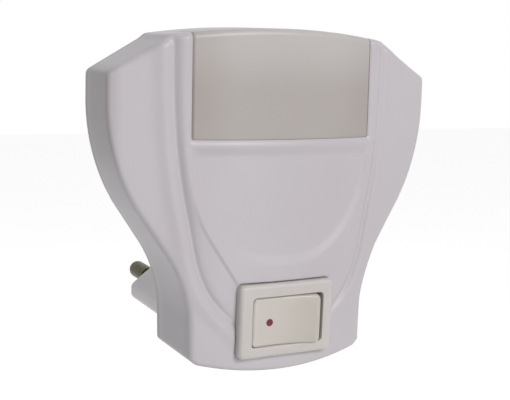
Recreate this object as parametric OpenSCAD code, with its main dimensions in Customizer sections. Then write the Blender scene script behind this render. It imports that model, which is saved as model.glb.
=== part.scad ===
/* [Case] */
// Width of the case across its shoulders
case_w = 71.4; // [55:0.1:95]
// Height of the case, bottom edge to crown
case_h = 68; // [52:0.1:90]
// Depth of the case behind the switch, from the switch seat to the back face
case_d = 18.2; // [17:0.1:26]
// Thickness of the moulded walls
wall = 2.1; // [1.6:0.05:3]
// Radius of the slightly bulged front
bulge_r = 107.5; // [80:0.5:200]
// Backward lean of the front, in degrees
lean = 1.78; // [0:0.01:4]
// Slope of the outer flanks, in degrees
flank_slope = 8.2; // [6:0.1:10]
// How far the middle frame stands proud of the flanks
frame_rise = 0.8; // [0.4:0.05:1.4]

// Width of the frame beside the window
frame_w = 2.4; // [1.8:0.1:3.2]
// Thickness of the rear cover
cover_t = 2; // [1.6:0.1:2.6]
// Distance of the upper screws below the crown
screw_drop = 12.2; // [10:0.1:15]
// Diameter of a case screw
screw_d = 2.9; // [2.2:0.1:3.5]
// Diameter of a screw boss
boss_d = 6; // [5:0.1:7.2]

/* [Diffuser] */
// Width of the window
window_w = 39.8; // [32:0.1:48]
// Height of the window, up to the crown
window_h = 21.4; // [17:0.1:26]
// How far the diffuser lies below the frame
lens_recess = 0.9; // [0.2:0.05:1]
// How far the diffuser returns over the top, from the switch seat
lens_return = 11; // [8:0.1:14]
// Width of the flange that holds the diffuser
lens_flange = 1.7; // [1:0.1:2.5]

/* [Plug] */
// Width of the plug body
plug_w = 36; // [29.4:0.1:42.4]
// Thickness of the plug body
plug_t = 13.7; // [11.4:0.1:16.5]
// Depth of the plug body
plug_l = 20; // [16.6:0.1:25]
// Distance between the two pins
pin_pitch = 18.6; // [15.5:0.1:22.4]
// Diameter of the bare end of a pin
pin_d = 4; // [3.6:0.02:4.8]
// Length of a pin in front of the plug face
pin_l = 19; // [16:0.1:22]
// Diameter of the insulating sleeve
sleeve_d = 3.6; // [3.16:0.02:4.4]
// Length of the sleeve in front of the plug face
sleeve_l = 10; // [8:0.1:12]
// Thickness of the plug body's walls
plug_wall = 2; // [1.6:0.1:2.5]
// Thickness of the plug body's end
end_t = 3.5; // [2.5:0.1:4.5]

/* [Switch] */
// Height of the switch centre above the plug centre
switch_z = 2; // [0:0.1:5]
// Width of the switch bezel
bezel_w = 21; // [17.5:0.1:25.2]
// Height of the switch bezel
bezel_h = 15; // [12.5:0.1:18]
// Thickness of the switch bezel
bezel_t = 2; // [1.4:0.05:2.4]
// Angle between the two positions of the rocker
throw = 11; // [8:0.1:20]
// Angle between the two positions of the contact lever
lever_throw = 9.6; // [6:0.1:17]
// Height of the rocker's raised ends above its middle
scoop = 0.9; // [0.4:0.05:1.3]

/* [Board] */
// Thickness of the circuit board
board_t = 1.2; // [0.8:0.05:1.7]
// Gap between the circuit board and the rear cover
board_stand = 2.5; // [2:0.1:3.2]
// Diameter of an indicator lamp
led_d = 5; // [3:0.1:6]
// Width of the film capacitor
film_w = 12.5; // [9:0.1:13]
// Height of the film capacitor above the board
film_h = 8; // [6:0.1:8.6]
// Thickness of the film capacitor
film_t = 7; // [5:0.1:7.5]
// Diameter of the round capacitor
can_d = 6.3; // [4:0.1:7]
// Height of the round capacitor
can_h = 7; // [5:0.1:8.5]

/* [Hidden] */
$fn = 48;
seam = 0.1;
run = 0.05;

back_y = -plug_l;
seat_y = back_y - case_d;
bezel_y = seat_y - bezel_t;
inner_y = back_y - cover_t;
pad_dip = 0.39;
front_y = seat_y - pad_dip;
rebate = 0.55 * wall;
flange_t = 0.9;

chin = 3.35;
low_z = switch_z - bezel_h / 2 - chin;
sx = case_w / 71.4;
sz = case_h / 68.05;
top_z = low_z + case_h;

open_w = bezel_w - 4.4;
open_h = bezel_h - 4.6;
body_w = bezel_w - 2.3;
body_h = bezel_h - 2;
body_fit = 0.15;
lug_x = body_w / 2 + 0.8;
lug_z = 2.5;
lug_y = bezel_t + wall - pad_dip + lug_x * lug_x / (2 * bulge_r)
  + (switch_z + lug_z) * tan(lean) + 0.02;
cut_w = body_w + 2 * body_fit + 0.2;
cut_h = body_h + 2 * body_fit;

win_x = window_w / 2;
win_z = top_z - window_h;
win_y = seat_y + lens_return;
frame_x = win_x + frame_w;
flank_x = frame_x + 2.8;
flank_y = flank_x * flank_x / (2 * bulge_r);

screw_r = screw_d / 2;
screw_l = 10;
head_r = screw_r + 1.5;
head_h = 1.5;
boss_r = boss_d / 2;
low_boss_z = switch_z + bezel_h / 2 + boss_r - 1.4;
up_boss_z = top_z - screw_drop;

// Half outline, crown to bottom: x, z, corner radius
function arc(c, r, a, b, n) = [for (i = [0:n - 1]) [
  c[0] + r * cos(a + (b - a) * i / n), c[1] + r * sin(a + (b - a) * i / n), 0]];
HALF = concat(
  arc([0, -95.8], 155, 90, 80.8, 6), [[25.1, 56.3, 2.5], [35.7, 50, 1.4]],
  arc([-5.3, 44.9], 41, 0, -27.5, 8), [[30, 24.1, 0]],
  arc([48, 0.2], 28.3, 148, 175, 7), [[19.85, 2.6, 0], [19.62, -5.18, 0.8]],
  arc([0, 60.55], 69.4, -74.8, -90, 4), [[0, -8.85, 0]]);

function unit(v) = v / norm(v);
function right(v) = [v[1], -v[0]];
function fit_case(p) = [p[0] * sx, low_z + (p[1] + 8.85) * sz, p[2]];
function whole(h) = concat(h, [for (i = [len(h) - 2:-1:1]) [-h[i][0], h[i][1], h[i][2]]]);
RIM = whole([for (p = HALF) fit_case(p)]);

// Clockwise loop of [x, z, r], moved inwards by t and rounded at its corners
function xy(p) = [p[0], p[1]];
function at(P, i) = P[(i + len(P)) % len(P)];
function dir(P, i) = unit(xy(at(P, i + 1)) - xy(at(P, i)));
function moved(P, t) = [for (i = [0:len(P) - 1])
  let (a = right(dir(P, i - 1)), b = right(dir(P, i)), q = xy(P[i]) + t * (a + b) / (1 + a * b))
  [q[0], q[1], P[i][2] > 0 ? max(P[i][2] - t, 0.3) : 0]];
function corner(P, i) = let (r = P[i][2], d = dir(P, i - 1), e = dir(P, i), a = right(d),
  b = right(e), s = abs(d[0] * e[1] - d[1] * e[0]), L = r * s / (1 + d * e),
  c = xy(P[i]) - L * d + r * sign(a * e) * a)
  [for (k = [0:4]) c - r * sign(a * e) * unit(a * (4 - k) + b * k)];
function rounded(P) = [for (i = [0:len(P) - 1]) each (P[i][2] > 0 ? corner(P, i) : [xy(P[i])])];
function loop(P, t) = rounded(moved(P, t));
function half_at(z) = lookup(z, [for (i = [len(HALF) - 1:-1:8])
  [fit_case(HALF[i])[1], fit_case(HALF[i])[0]]]);

low_boss_x = half_at(low_boss_z) - wall - boss_r - 1;
up_boss_x = (win_x + lens_flange + case_w / 2 - wall) / 2;
SCREWS = [[low_boss_x, low_boss_z], [-low_boss_x, low_boss_z],
  [up_boss_x, up_boss_z], [-up_boss_x, up_boss_z]];

// Middle frame and bowl, x as a share from bezel to frame, z from bezel to window
function frame_pt(p) = [bezel_w / 2 + p[0] * (frame_x - bezel_w / 2),
  switch_z + bezel_h / 2 + p[1] * (win_z - switch_z - bezel_h / 2), p[2]];
TONGUE = whole([for (p = [[-0.9, 2, 0], [1, 2, 0], [1, 0.96, 0], [0.94, 0.68, 0],
  [0.82, 0.42, 0], [0.66, 0.12, 0], [0.3, -0.16, 0], [-0.03, -0.28, 0], [-0.9, -0.28, 0]])
  frame_pt(p)]);
BOWL = whole([for (p = [[-0.9, 0.93, 0], [0.78, 0.93, 0], [0.72, 0.68, 0], [0.5, 0.46, 0],
  [0.2, 0.29, 0], [-0.22, 0.16, 0], [-0.6, 0.115, 0], [-0.9, 0.1, 0]]) frame_pt(p)]);

plug_taper = 7.2;
plug_cut = 5.55;
plug_flat = plug_w - 2 * plug_taper;
PLUG = whole([[0, plug_t / 2, 0], [plug_flat / 2, plug_t / 2, 4.5],
  [plug_w / 2, plug_t / 2 - plug_cut, 1.5], [plug_w / 2, plug_cut - plug_t / 2, 1.5],
  [plug_flat / 2, -plug_t / 2, 4.5], [0, -plug_t / 2, 0]]);
function box_pts(w, h, r) = whole([[0, h / 2, 0], [w / 2, h / 2, r], [w / 2, -h / 2, r],
  [0, -h / 2, 0]]);

pin_x = pin_pitch / 2;
core_r = 1.5;
collar_r = 2.75;
collar_y = -end_t - 3;
collar_t = 2;
pin_boss_r = 4.2;
pin_boss_y = collar_y - 2.5;
tail_y = back_y + 7;

// Switch, with y counted from the bezel's front face
rest = throw / 2;
lever_y = 9.9;
lever_rest = lever_throw / 2;
lever_t = 0.6;
floor_y = 12.2;
box_y = 13.4;
blade_y = inner_y - 0.3 - bezel_y;
contact_x = 4.8;
contact_r = 1.1;
contact_h = 0.5;
rivet_r = 0.5;
blade_t = 0.8;
strap_t = 0.6;
blade_h = 4.6;
strap_h = 3.6;
contact_dip = (contact_x + contact_r) * sin(lever_rest) + contact_h;
fixed_y = lever_y + contact_dip + run;
end_x = open_w / 2 - 1.1;
rock_l = open_w / 2 - 0.8;
rock_h = open_h / 2 - 0.2;
rock_end = -0.35;
rock_mid = rock_end + scoop;
pivot_y = rock_mid + 1.35;
rock_back = 3.2;
scoop_r = (rock_l * rock_l + scoop * scoop) / (2 * scoop);
dot_x = 3.5;
trun_r = 0.9;
trun_l = 0.8;
stem_r = 2.3;
plunger_r = 1.2;
plunger_top = 4.6;
plunger_tip = 9.15;
bore_top = 2.6;

// Circuit board
board_back = inner_y - board_stand;
board_y = board_back - board_t;
board_z0 = low_boss_z + boss_r + 2.9;
board_z1 = top_z - 5.2;
board_x = min(win_x - 0.4, half_at(board_z0) - wall - 0.6);
board_h = board_z1 - board_z0;
function row(k) = board_z0 + k * board_h;
board_screw_x = board_x - 2.9;
board_screw_z = row(0.49);
small_r = 1;
post_r = small_r + 1.5;
pin_back = board_back + 1;
lead_r = 0.3;
hole_r = lead_r + run;
LEDS = [for (k = [-0.69, -0.23, 0.23, 0.69]) [k * board_x, row(0.84)]];
film_x = -board_x + 3.2 + film_w / 2;
film_z = row(0.15);
can_x = 0.41 * board_x;
RESISTORS = [[-0.5 * board_x, row(0.645)], [0.5 * board_x, row(0.645)]];
DIODES = [for (x = [-5, -1, 3, 7]) [x, row(0.45)]];
res_r = 1.15;
res_l = 6;
dio_r = 1.25;
dio_l = 4.4;
axial_y = board_y - dio_r - 0.25;
res_span = res_l / 2 + 2.2;
dio_span = dio_l / 2 + 1.2;
led_span = 1.27;
led_h = 3.1;
film_span = film_w / 2 - 1.25;
can_span = 1.25;
LED_LEADS = [for (p = LEDS) each [[p[0] - led_span, p[1]], [p[0] + led_span, p[1]]]];
CAN_LEADS = [[film_x - film_span, film_z], [film_x + film_span, film_z],
  [can_x - can_span, film_z], [can_x + can_span, film_z]];
R_LEADS = [for (p = RESISTORS) each [[p[0] - res_span, p[1]], [p[0] + res_span, p[1]]]];
D_LEADS = [for (p = DIODES) each [[p[0], p[1] - dio_span], [p[0], p[1] + dio_span]]];
wire_r = 0.8;
wire_x = min(10.5, low_boss_x - boss_r - 1.2);
wire_y = (board_back + inner_y) / 2;
wire_z = board_z0 + 1.6;

module xz(y0, y1) {
  translate([0, y1, 0]) rotate([90, 0, 0]) linear_extrude(y1 - y0) children();
}

module ycyl(y0, y1, r, r2 = -1) {
  translate([0, y0, 0]) rotate([-90, 0, 0]) cylinder(h = y1 - y0, r1 = r, r2 = r2 < 0 ? r : r2);
}

module zcyl(z0, z1, r) {
  translate([0, 0, z0]) cylinder(h = z1 - z0, r = r);
}

module rod(a, b, r) {
  d = b - a;
  translate(a) rotate([0, acos(d[2] / norm(d)), atan2(d[1], d[0])]) cylinder(h = norm(d), r = r);
}

module run_wire(P, r) {
  for (i = [0:len(P) - 2]) rod(P[i], P[i + 1], r);
  for (i = [1:len(P) - 2]) translate(P[i]) sphere(r);
}

function near(a, b, m) = a + unit(b - a) * min(m, norm(b - a) / 3);
function bent(P, m) = concat([P[0]], [for (i = [1:len(P) - 2])
  each [near(P[i], P[i - 1], m), near(P[i], P[i + 1], m)]], [P[len(P) - 1]]);
function carry(T, i, u) = i == len(T) ? [] :
  let (v = unit(u - (u * T[i]) * T[i])) concat([v], carry(T, i + 1, v));

module tube(P, r, n) {
  Q = bent(bent(P, 1.6), 0.6);
  m = len(Q);
  T = [for (i = [0:m - 1]) unit(Q[min(i + 1, m - 1)] - Q[max(i - 1, 0)])];
  U = carry(T, 0, [0.1, 0.2, 1]);
  V = [for (i = [0:m - 1]) for (k = [0:n - 1])
    Q[i] + r * (cos(360 * k / n) * U[i] + sin(360 * k / n) * cross(T[i], U[i]))];
  polyhedron(V, concat([[for (k = [0:n - 1]) k]], [[for (k = [n - 1:-1:0]) n * (m - 1) + k]],
    [for (i = [0:m - 2]) for (k = [0:n - 1])
      [n * i + k, n * (i + 1) + k, n * (i + 1) + (k + 1) % n, n * i + (k + 1) % n]]));
}

module block(x0, x1, y0, y1, z0, z1) {
  translate([x0, y0, z0]) cube([x1 - x0, y1 - y0, z1 - z0]);
}

module bulge(off) {
  translate([0, front_y, 0]) rotate([-lean, 0, 0]) translate([0, bulge_r, 0])
    cylinder(h = 4 * case_h, r = bulge_r + off, center = true);
}

module flank(s) {
  fall = tan(flank_slope);
  intersection() {
    xz(-60 - plug_l, back_y) polygon(loop(RIM, 0));
    translate([0, front_y, 0]) rotate([-lean, 0, 0])
      linear_extrude(4 * case_h, center = true) polygon([
        [s * (flank_x - 3), flank_y - 3 * fall], [s * case_w, flank_y + (case_w - flank_x) * fall],
        [s * case_w, 60], [s * (flank_x - 3), 60]]);
  }
}

module rim_solid(t, off, y1) {
  intersection() {
    xz(-60 - plug_l, y1) polygon(loop(RIM, t));
    bulge(off);
  }
}

module front_shell() {
  color([0.87, 0.86, 0.87]) difference() {
    union() {
      difference() {
        union() {
          rim_solid(0, 0, back_y);
          flank(1);
          flank(-1);
          intersection() {
            xz(-60 - plug_l, seat_y + 6) polygon(loop(TONGUE, 0));
            rim_solid(0, frame_rise, back_y);
          }
        }
        rim_solid(wall, -wall, back_y + 1);
        xz(inner_y, back_y + 1) polygon(loop(RIM, rebate));
        difference() {
          xz(-60 - plug_l, seat_y + 6) polygon(loop(BOWL, 0));
          bulge(frame_rise - lens_recess);
        }
        translate([0, 0, switch_z]) xz(-60 - plug_l, seat_y)
          polygon(loop(box_pts(bezel_w + 0.6, bezel_h + 0.6, 1), 0));
      }
      for (p = SCREWS) intersection() {
        translate([p[0], 0, p[1]]) ycyl(seat_y - 2, inner_y, boss_r);
        bulge(-wall / 2);
      }
    }
    block(-win_x, win_x, -60 - plug_l, win_y, win_z, top_z + 5);
    block(-cut_w / 2, cut_w / 2, -60 - plug_l, inner_y - 5, switch_z - cut_h / 2,
      switch_z + cut_h / 2);
    for (p = SCREWS) translate([p[0], 0, p[1]]) ycyl(back_y - screw_l - 1, inner_y + 1, screw_r);
  }
}

module diffuser() {
  w = win_x - seam;
  f = win_x + lens_flange;
  color([0.86, 0.85, 0.83]) difference() {
    union() {
      intersection() {
        rim_solid(0.3, frame_rise - lens_recess, win_y - seam);
        block(-w, w, -60 - plug_l, win_y - seam, win_z + seam, top_z + 5);
      }
      intersection() {
        rim_solid(wall + seam, -wall - seam, win_y + 1);
        block(-f, f, -60 - plug_l, win_y + 1, win_z - lens_flange, top_z + 5);
      }
    }
    rim_solid(wall + seam + flange_t, -wall - seam - flange_t, back_y);
  }
}

module plug_outer() {
  xz(back_y, 0) polygon(loop(PLUG, 0));
}

module rear_cover() {
  color([0.84, 0.83, 0.84]) difference() {
    union() {
      difference() {
        union() {
          xz(inner_y, back_y) polygon(loop(RIM, rebate + seam));
          plug_outer();
        }
        xz(inner_y - 1, -end_t) polygon(loop(PLUG, plug_wall));
      }
      for (s = [-1, 1]) {
        translate([s * pin_x, 0, 0]) ycyl(pin_boss_y, -end_t + 0.5, pin_boss_r);
        translate([s * board_screw_x, 0, board_screw_z]) ycyl(board_back, inner_y + 0.5, post_r);
      }
    }
    for (s = [-1, 1]) {
      translate([s * pin_x, 0, 0]) ycyl(pin_boss_y - 1, 1, core_r);
      translate([s * pin_x, 0, 0]) ycyl(collar_y, collar_y + collar_t, collar_r);
      translate([s * pin_x, 0, 0]) ycyl(-end_t, 1, sleeve_d / 2);
      translate([s * board_screw_x, 0, board_screw_z]) ycyl(board_back - 1, inner_y + 1, small_r);
    }
    for (p = SCREWS) translate([p[0], 0, p[1]]) {
      ycyl(inner_y - 1, back_y + 1, screw_r + 0.15);
      ycyl(back_y - head_h, back_y, screw_r, head_r);
    }
  }
}

module in_switch() {
  translate([0, bezel_y, switch_z]) children();
}

module switch_body() {
  color([0.85, 0.83, 0.79]) in_switch() difference() {
    union() {
      xz(0.5, bezel_t) polygon(loop(box_pts(bezel_w, bezel_h, 0.9), 0));
      xz(0, 0.6) polygon(loop(box_pts(bezel_w - 0.6, bezel_h - 0.6, 0.7), 0));
      xz(bezel_t - 0.5, box_y) polygon(loop(box_pts(body_w, body_h, 0.6), 0));
      for (s = [-1, 1]) scale([s, 1, 1]) linear_extrude(2 * lug_z, center = true)
        polygon([[body_w / 2 - 1, lug_y], [lug_x, lug_y], [body_w / 2, lug_y + 2.95],
          [body_w / 2 - 1, lug_y + 2.95]]);
    }
    xz(-1, floor_y) polygon(loop(box_pts(open_w, open_h, 0.5), 0));
    translate([0, pivot_y, 0]) zcyl(-open_h / 2 - trun_l - 0.1, open_h / 2 + trun_l + 0.1, trun_r + run);
    for (x = [0, end_x]) block(x - blade_t / 2 - run, x + blade_t / 2 + run, floor_y - 1, box_y + 1,
      -blade_h / 2 - run, blade_h / 2 + run);
  }
}

module rocked() {
  in_switch() translate([0, pivot_y, 0]) rotate([0, 0, -rest]) translate([0, -pivot_y, 0])
    children();
}

FACE = [for (i = [0:16]) let (x = rock_l - i * rock_l / 8)
  [x, rock_mid - scoop_r + sqrt(scoop_r * scoop_r - x * x), (i == 0 || i == 16) ? 0.8 : 0]];
ROCK = concat(FACE, [[-rock_l, rock_back - 0.7, 0.4], [-rock_l + 1.2, rock_back, 0],
  [rock_l - 1.2, rock_back, 0], [rock_l, rock_back - 0.7, 0.4]]);

module rocker() {
  color([0.83, 0.8, 0.76]) rocked() difference() {
    union() {
      linear_extrude(2 * rock_h, center = true) polygon([for (p = ROCK) xy(p)]);
      translate([0, pivot_y, 0]) zcyl(-open_h / 2 - trun_l, open_h / 2 + trun_l, trun_r);
      block(-stem_r, stem_r, rock_back - 0.5, 6.9, -stem_r, stem_r);
    }
    ycyl(bore_top, 8, plunger_r + run);
    translate([-dot_x, 0, -0.4]) ycyl(-1, rock_mid - dot_x * dot_x / (2 * scoop_r) + 0.2, 0.75);
  }
}

module plunger() {
  color([0.92, 0.92, 0.9]) rocked() {
    ycyl(plunger_top, plunger_tip - plunger_r, plunger_r);
    translate([0, plunger_tip - plunger_r, 0]) sphere(plunger_r);
  }
}

coil_r = 0.85;
coil_w = 0.16;
coil_n = 3.5;
coil_h = plunger_top - bore_top - 2 * coil_w;
COIL = [for (i = [0:70]) for (k = [0:5]) let (a = i * 360 * coil_n / 70,
  r = coil_r + coil_w * cos(60 * k))
  [r * cos(a), bore_top + coil_w + coil_h * i / 70 + coil_w * sin(60 * k), r * sin(a)]];
COIL_F = concat([[for (k = [0:5]) k]], [[for (k = [5:-1:0]) 420 + k]],
  [for (i = [0:69]) for (k = [0:5])
    [6 * i + k, 6 * i + 6 + k, 6 * i + 6 + (k + 1) % 6, 6 * i + (k + 1) % 6]]);

module plunger_spring() {
  color([0.7, 0.71, 0.73]) rocked() polyhedron(COIL, COIL_F);
}

module levered() {
  in_switch() translate([0, lever_y, 0]) rotate([0, 0, lever_rest]) children();
}

module contact_lever() {
  color([0.78, 0.6, 0.3]) levered() difference() {
    block(-contact_x - 0.8, contact_x + contact_r, -lever_t, 0, -strap_h / 2, strap_h / 2);
    translate([contact_x, 0, 0]) ycyl(-2, 1, rivet_r);
  }
}

module moving_contact() {
  color([0.8, 0.8, 0.82]) levered() translate([contact_x, 0, 0]) {
    ycyl(-lever_t - 0.3, -lever_t, rivet_r + 0.3);
    ycyl(-lever_t - 0.2, contact_h - 0.1, rivet_r);
    ycyl(0, contact_h, contact_r);
  }
}

module fixed_contact() {
  color([0.8, 0.8, 0.82]) in_switch() translate([contact_x, 0, 0]) {
    ycyl(fixed_y, floor_y - strap_t, contact_r);
    ycyl(fixed_y + 0.1, floor_y, rivet_r);
  }
}

fulcrum_y = lever_y + blade_t / 2 + 0.03;

module centre_terminal() {
  color([0.78, 0.6, 0.3]) in_switch() {
    block(-blade_t / 2, blade_t / 2, fulcrum_y, blade_y, -blade_h / 2, blade_h / 2);
    translate([0, fulcrum_y, 0]) zcyl(-blade_h / 2, blade_h / 2, blade_t / 2);
  }
}

module end_terminal() {
  color([0.78, 0.6, 0.3]) in_switch() difference() {
    union() {
      block(contact_x - contact_r - 0.2, end_x + blade_t / 2, floor_y - strap_t, floor_y,
        -strap_h / 2, strap_h / 2);
      block(end_x - blade_t / 2, end_x + blade_t / 2, floor_y - strap_t, blade_y,
        -blade_h / 2, blade_h / 2);
    }
    translate([contact_x, 0, 0]) ycyl(floor_y - 2, floor_y + 1, rivet_r);
  }
}

module circuit_board() {
  color([0.55, 0.42, 0.22]) difference() {
    block(-board_x, board_x, board_y, board_back, board_z0, board_z1);
    for (p = concat(LED_LEADS, CAN_LEADS, R_LEADS, D_LEADS))
      translate([p[0], 0, p[1]]) ycyl(board_y - 1, board_back + 1, hole_r);
    for (s = [-1, 1])
      translate([s * board_screw_x, 0, board_screw_z])
        ycyl(board_y - 1, board_back + 1, small_r + 0.15);
  }
}

module led_lamps() {
  r = led_d / 2;
  color([0.93, 0.95, 0.96]) for (p = LEDS) translate([p[0], board_y, p[1]]) {
    ycyl(-0.9, 0, r + 0.4);
    ycyl(-led_h, -0.9, r);
    translate([0, -led_h, 0]) sphere(r);
  }
}

module led_leads() {
  color([0.72, 0.72, 0.74]) for (p = LED_LEADS)
    translate([p[0], 0, p[1]]) ycyl(board_y, pin_back, lead_r);
}

module film_capacitor() {
  color([0.7, 0.2, 0.12])
    block(film_x - film_w / 2, film_x + film_w / 2, board_y - film_h, board_y,
      film_z - film_t / 2, film_z + film_t / 2);
}

module electrolytic_capacitor() {
  r = can_d / 2;
  color([0.13, 0.15, 0.2]) translate([can_x, board_y, film_z]) {
    ycyl(-1, 0, r);
    ycyl(-1.6, -1, r - 0.3);
    ycyl(-can_h, -1.6, r);
  }
}

module resistors() {
  color([0.75, 0.66, 0.5]) for (p = RESISTORS)
    translate([p[0], axial_y, p[1]]) rotate([0, 90, 0]) {
      cylinder(h = res_l - 2.4, r = res_r - 0.2, center = true);
      for (s = [-1, 1]) translate([0, 0, s * (res_l / 2 - 0.8)])
        cylinder(h = 1.6, r = res_r, center = true);
    }
}

module diodes() {
  color([0.12, 0.12, 0.12]) for (p = DIODES)
    translate([p[0], axial_y, p[1]]) cylinder(h = dio_l, r = dio_r, center = true);
}

module component_leads() {
  color([0.75, 0.75, 0.77]) {
    for (p = CAN_LEADS) translate([p[0], 0, p[1]]) ycyl(board_y, pin_back, lead_r);
    for (p = RESISTORS, s = [-1, 1]) run_wire([[p[0] + s * res_l / 2, axial_y, p[1]],
      [p[0] + s * res_span, axial_y, p[1]], [p[0] + s * res_span, pin_back, p[1]]], lead_r);
    for (p = DIODES, s = [-1, 1]) run_wire([[p[0], axial_y, p[1] + s * dio_l / 2],
      [p[0], axial_y, p[1] + s * dio_span], [p[0], pin_back, p[1] + s * dio_span]], lead_r);
  }
}

module pin(s) {
  color([0.72, 0.58, 0.32]) translate([s * pin_x, 0, 0]) {
    ycyl(tail_y, sleeve_l, core_r);
    ycyl(collar_y, collar_y + collar_t, collar_r);
    ycyl(sleeve_l, pin_l - 1, pin_d / 2);
    ycyl(pin_l - 1, pin_l, pin_d / 2, pin_d / 2 - 0.7);
  }
}

module pin_left() {
  pin(-1);
}

module pin_right() {
  pin(1);
}

module sleeve(s) {
  color([0.16, 0.16, 0.17]) translate([s * pin_x, 0, 0]) difference() {
    ycyl(-end_t, sleeve_l, sleeve_d / 2);
    ycyl(-end_t - 1, sleeve_l + 1, core_r);
  }
}

module pin_sleeve_left() {
  sleeve(-1);
}

module pin_sleeve_right() {
  sleeve(1);
}

module case_screws() {
  color([0.65, 0.65, 0.67]) for (p = SCREWS) translate([p[0], 0, p[1]]) difference() {
    union() {
      ycyl(back_y - screw_l, back_y, screw_r);
      ycyl(back_y - head_h, back_y, screw_r, head_r);
    }
    block(-1.5, 1.5, back_y - 0.9, back_y + 1, -0.3, 0.3);
    block(-0.3, 0.3, back_y - 0.9, back_y + 1, -1.5, 1.5);
  }
}

module board_screws() {
  color([0.65, 0.65, 0.67]) for (s = [-1, 1])
    translate([s * board_screw_x, 0, board_screw_z]) difference() {
      union() {
        ycyl(board_y, inner_y + 0.9, small_r);
        ycyl(board_y - 1.3, board_y, small_r + 1.1);
      }
      block(-1.2, 1.2, board_y - 2, board_y - 0.6, -0.25, 0.25);
      block(-0.25, 0.25, board_y - 2, board_y - 0.6, -1.2, 1.2);
    }
}

term_y = bezel_y + blade_y;

module wire_live() {
  color([0.45, 0.25, 0.14]) tube([[pin_x, tail_y, 0], [pin_x, tail_y - 2.5, 0],
    [4.5, tail_y - 5, 1.2], [0, term_y + 2, switch_z], [0, term_y, switch_z]], wire_r, 10);
}

module wire_switched() {
  x = max(wire_x, end_x + 2);
  z = switch_z;
  color([0.12, 0.12, 0.13]) tube([[end_x, term_y, z], [end_x, term_y + 1.4, z],
    [end_x + 1.6, term_y + 2.2, z + 0.2], [x, term_y + 1.3, z + 0.4], [x, wire_y, z + 1.4],
    [wire_x, wire_y, z + 4.5], [wire_x, wire_y, wire_z], [wire_x, board_back, wire_z]], wire_r, 10);
}

module wire_neutral() {
  color([0.16, 0.3, 0.62]) tube([[-pin_x, tail_y, 0], [-pin_x, tail_y - 2, 0],
    [-wire_x, back_y + 0.5, 2.2], [-wire_x, wire_y, 3.2], [-wire_x, wire_y, wire_z],
    [-wire_x, board_back, wire_z]], wire_r, 10);
}

front_shell();
rear_cover();
diffuser();
switch_body();
rocker();
plunger();
plunger_spring();
contact_lever();
moving_contact();
fixed_contact();
centre_terminal();
end_terminal();
circuit_board();
led_lamps();
led_leads();
film_capacitor();
electrolytic_capacitor();
resistors();
diodes();
component_leads();
pin_left();
pin_right();
pin_sleeve_left();
pin_sleeve_right();
case_screws();
board_screws();
wire_live();
wire_switched();
wire_neutral();
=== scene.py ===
"""Plug-in night light with a rocker switch: the visible pieces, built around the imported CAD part.

Sizes inside the mesh code are in millimetres and every finished mesh is in metres.
"""

import math

import bmesh
import bpy
import numpy as np
from bpy.props import FloatProperty, FloatVectorProperty, PointerProperty
from bpy.types import Operator, Panel, PropertyGroup
from mathutils import Matrix, Vector
from mathutils.geometry import delaunay_2d_cdt


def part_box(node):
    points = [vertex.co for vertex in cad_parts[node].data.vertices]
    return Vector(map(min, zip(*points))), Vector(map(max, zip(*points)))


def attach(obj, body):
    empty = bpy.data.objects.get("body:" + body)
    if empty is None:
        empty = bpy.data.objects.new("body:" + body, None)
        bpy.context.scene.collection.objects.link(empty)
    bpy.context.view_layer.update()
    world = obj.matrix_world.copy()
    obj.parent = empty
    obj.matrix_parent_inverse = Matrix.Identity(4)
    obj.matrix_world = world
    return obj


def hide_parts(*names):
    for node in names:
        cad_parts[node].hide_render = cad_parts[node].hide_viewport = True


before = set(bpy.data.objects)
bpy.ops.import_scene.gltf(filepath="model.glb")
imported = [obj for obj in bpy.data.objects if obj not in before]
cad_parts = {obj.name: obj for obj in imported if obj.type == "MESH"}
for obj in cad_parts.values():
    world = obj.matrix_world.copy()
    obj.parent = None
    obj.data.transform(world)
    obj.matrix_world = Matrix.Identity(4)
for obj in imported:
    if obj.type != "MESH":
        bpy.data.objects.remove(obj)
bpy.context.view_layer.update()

bl_info = {
    "name": "Plug-in Night Light",
    "version": (1, 0, 0),
    "blender": (4, 5, 0),
    "location": "View3D > Sidebar > Night Light",
    "description": "Builds a plug-in night light with a rocker switch around its CAD frame",
    "category": "Object",
}

MM = 0.001
SHARP = math.radians(38)
BLOCK = 4000


def box_mm(node):
    """Lowest and highest corner of a CAD node, in millimetres."""
    low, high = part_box(node)
    return np.array(low) / MM, np.array(high) / MM


SHELL_LOW, SHELL_HIGH = box_mm("front_shell")
CASE_W = SHELL_HIGH[0] - SHELL_LOW[0]
CASE_H = SHELL_HIGH[2] - SHELL_LOW[2]
LOW_Z = SHELL_LOW[2]
TOP_Z = SHELL_HIGH[2]
BACK_Y = SHELL_HIGH[1]
SEAT_Y = BACK_Y - 18.2
INNER_Y = BACK_Y - 2.0
FRONT_Y = SEAT_Y - 0.39
BEZEL_Y = SEAT_Y - 2.0
SWITCH_Z = 2.0
WINDOW_X = 19.9
WINDOW_Z = TOP_Z - 21.4
WINDOW_Y = SEAT_Y + 11.0
PIN_X = 9.3
WALL = 2.1
WINDOW_CORNER = 0.4
ROUND_REACH, ROUND_DEPTH = 1.3, 0.5

# the outline as it is drawn, before it is scaled to the CAD case
DRAWN_W, DRAWN_H, DRAWN_LOW = 71.4, 68.05, -8.85
CROWN_CENTRE, CROWN_RADIUS = -95.8, 155.0

# the face: a wide cylinder that leans back, with flatter flanks from CORE_X outwards
FACE_RADIUS = 107.5
FACE_LEAN = math.radians(1.78)
CORE_X, FLANK_X = 16.0, 25.1
FLANK_SLOPE = math.tan(math.radians(8.2))
FRAME_X = 21.5
FACET = 2.2

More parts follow.
